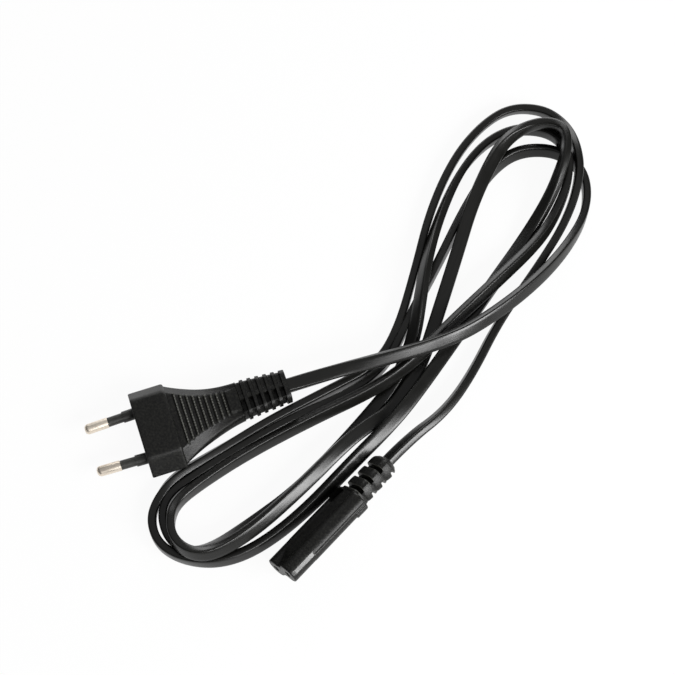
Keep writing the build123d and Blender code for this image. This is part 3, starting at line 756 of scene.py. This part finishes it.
def extruded_pvc_sheath():
    """Extruded PVC sheath: black with a dull gloss, and faint draw lines along the cord.

    Real draw lines are about 0.1 mm apart, too fine to show, so they are drawn about 0.35 mm apart: 1500 to the
    metre of a map that counts the way round almost twice. Along the cord each changes 30 times in a metre.
    Scuffs of 9 mm vary the gloss.
    """
    lines_per_metre, scuff_mm, bump_mm = (30.0, 1500.0, 1.0), 9.0, 0.2
    made, tree = material("extruded_pvc_sheath")
    run = add(tree, "ShaderNodeUVMap", uv_map="run").outputs["UV"]
    stretch = add(tree, "ShaderNodeMapping", {"Vector": run, "Scale": lines_per_metre})
    lines = add(tree, "ShaderNodeTexNoise", {"Vector": stretch.outputs["Vector"], "Scale": 1.0, "Detail": 2.0})
    place = add(tree, "ShaderNodeTexCoord").outputs["Object"]
    scuff = add(tree, "ShaderNodeTexNoise", {"Vector": place, "Scale": 1 / (scuff_mm * MM), "Detail": 4.0})
    rough = add(tree, "ShaderNodeMapRange", {
        "Value": scuff.outputs["Fac"], "From Min": 0.3, "From Max": 0.7, "To Min": 0.26, "To Max": 0.34,
    })
    colour = add(tree, "ShaderNodeMix", {
        MIX_FACTOR: lines.outputs["Fac"], MIX_A: linear("#0a0a09"), MIX_B: linear("#141412"),
    }, data_type="RGBA")
    bump = add(tree, "ShaderNodeBump", {
        "Height": lines.outputs["Fac"], "Strength": 0.08, "Distance": bump_mm * MM,
    })
    shader = add(tree, "ShaderNodeBsdfPrincipled", {
        "Base Color": colour.outputs[MIX_RESULT], "Roughness": rough.outputs["Result"],
        "Normal": bump.outputs["Normal"], "IOR": 1.53, "Specular IOR Level": 0.4,
    })
    add(tree, "ShaderNodeOutputMaterial", {"Surface": shader.outputs[0]})
    return made


def moulded(name, dark, light, roughness, grain_mm, metallic):
    """Moulded, drawn or plated finish: two close tones and a grain that varies the roughness by 15 percent."""
    made, tree = material(name)
    place = add(tree, "ShaderNodeTexCoord").outputs["Object"]
    grain = add(tree, "ShaderNodeTexNoise", {"Vector": place, "Scale": 1 / (grain_mm * MM), "Detail": 3.0})
    colour = add(tree, "ShaderNodeMix", {
        MIX_FACTOR: grain.outputs["Fac"], MIX_A: linear(dark), MIX_B: linear(light),
    }, data_type="RGBA")
    rough = add(tree, "ShaderNodeMapRange", {
        "Value": grain.outputs["Fac"], "From Min": 0.3, "From Max": 0.7,
        "To Min": roughness * 0.85, "To Max": roughness * 1.15,
    })
    shader = add(tree, "ShaderNodeBsdfPrincipled", {
        "Base Color": colour.outputs[MIX_RESULT], "Roughness": rough.outputs["Result"], "Metallic": metallic,
    })
    add(tree, "ShaderNodeOutputMaterial", {"Surface": shader.outputs[0]})
    return made


def white_table():
    """White table that stays white to the camera and in reflections, and keeps a soft share of the shadow."""
    made, tree = material("white_table")
    ray = add(tree, "ShaderNodeLightPath")
    gloss = add(tree, "ShaderNodeMath", {
        0: ray.outputs["Is Glossy Ray"], 1: ray.outputs["Is Transmission Ray"],
    }, operation="MAXIMUM")
    gloss = add(tree, "ShaderNodeMath", {0: gloss.outputs[0], 1: TABLE_MIRRORED}, operation="MULTIPLY")
    seen = add(tree, "ShaderNodeMath", {0: ray.outputs["Is Camera Ray"], 1: TABLE_SEEN}, operation="MULTIPLY")
    share = add(tree, "ShaderNodeMath", {0: gloss.outputs[0], 1: seen.outputs[0]}, operation="MAXIMUM")
    paper = add(tree, "ShaderNodeBsdfDiffuse", {"Color": linear("#fafafa")})
    glow = add(tree, "ShaderNodeEmission", {"Color": linear("#ffffff"), "Strength": 1.0})
    mix = add(tree, "ShaderNodeMixShader", {0: share.outputs[0], 1: paper.outputs[0], 2: glow.outputs[0]})
    add(tree, "ShaderNodeOutputMaterial", {"Surface": mix.outputs[0]})
    return made


def finish_node(name, finish):
    """Gives a CAD node's object one finish in place of its own."""
    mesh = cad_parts[name].data
    mesh.materials.clear()
    mesh.materials.append(finish)


def aim(made, at, target):
    """Stands a camera or lamp at a place in millimetres and turns it to look at a target."""
    made.location = Vector(at) * MM
    made.rotation_euler = (Vector(target) - Vector(at)).to_track_quat("-Z", "Y").to_euler()
    bpy.context.collection.objects.link(made)


# Camera
camera_data = bpy.data.cameras.new("camera")
camera_data.lens = CAMERA_LENS
camera_data.clip_start = CAMERA_NEAR * MM
camera = bpy.data.objects.new("camera", camera_data)
aim(camera, CAMERA_AT, CAMERA_TARGET)
bpy.context.scene.camera = camera

# Cord and mouldings
cord, cord_path = flat_cord()
plug = plug_overmould()
connector = connector_overmould()
overmould = soft_pvc_overmould()
sheath = extruded_pvc_sheath()
finishes = {name: moulded(name, *look) for name, look in FINISHES.items()}
cord.data.materials.append(sheath)
plug.data.materials.append(overmould)
connector.data.materials.append(overmould)
connector.data.materials.append(finishes["polished_pvc_flat"])
for piece, node_name, slot in (
    (cord, "cord", "cord_pvc"),
    (plug, "plug_body", "overmould_pvc"),
    (connector, "connector_body", "overmould_pvc"),
):
    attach(piece, "root")
    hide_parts(node_name)
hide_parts("connector_tail")

# Pins, and the finishes of the CAD nodes that show or lie inside
finish_node("plug_bridge", finishes["glass_filled_nylon"])
finish_node("connector_insert", finishes["insert_nylon"])
for pole, core, far in (("line", "brown_core_pvc", 1), ("neutral", "blue_core_pvc", -1)):
    pin = turned_pin("turned_pin_" + pole, far)
    pin.data.materials.append(finishes["nickel_plated_brass"])
    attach(pin, "root")
    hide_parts("plug_pin_" + pole)
    finish_node("connector_contact_" + pole, finishes["contact_brass"])
    for end in ("plug", "connector"):
        finish_node(f"{end}_conductor_{pole}", finishes["bunched_copper"])
        finish_node(f"{end}_core_{pole}", finishes[core])

# Parts that lie inside the connector, and the place where the cord leaves the plug; neither is used further
in_connector = ["connector_insert"]
for part in ("contact", "core", "conductor"):
    in_connector += [f"connector_{part}_{pole}" for pole in ("line", "neutral")]
placed(PLUG_LEN, 0.0, 0.0, PLUG_FACE_AT, PLUG_AXES)

# White table, sky and lamps
half = TABLE_HALF * MM
table_mesh = bpy.data.meshes.new("table")
table_corners = [(-half, -half, 0), (half, -half, 0), (half, half, 0), (-half, half, 0)]
table_mesh.from_pydata(table_corners, [], [(0, 1, 2, 3)])
table_mesh.materials.append(white_table())
table = bpy.data.objects.new("table", table_mesh)
bpy.context.collection.objects.link(table)
world = bpy.data.worlds.new("studio")
world.use_nodes = True
sky = world.node_tree.nodes["Background"]
sky.inputs["Color"].default_value = linear("#ffffff")
sky.inputs["Strength"].default_value = SKY_STRENGTH
bpy.context.scene.world = world
for name, (at, side, watts) in LAMPS.items():
    lamp = bpy.data.lights.new(name, "AREA")
    lamp.size = side * MM
    lamp.energy = watts
    aim(bpy.data.objects.new(name, lamp), at, LAMP_TARGET)
bpy.context.scene.view_settings.view_transform = "Standard"
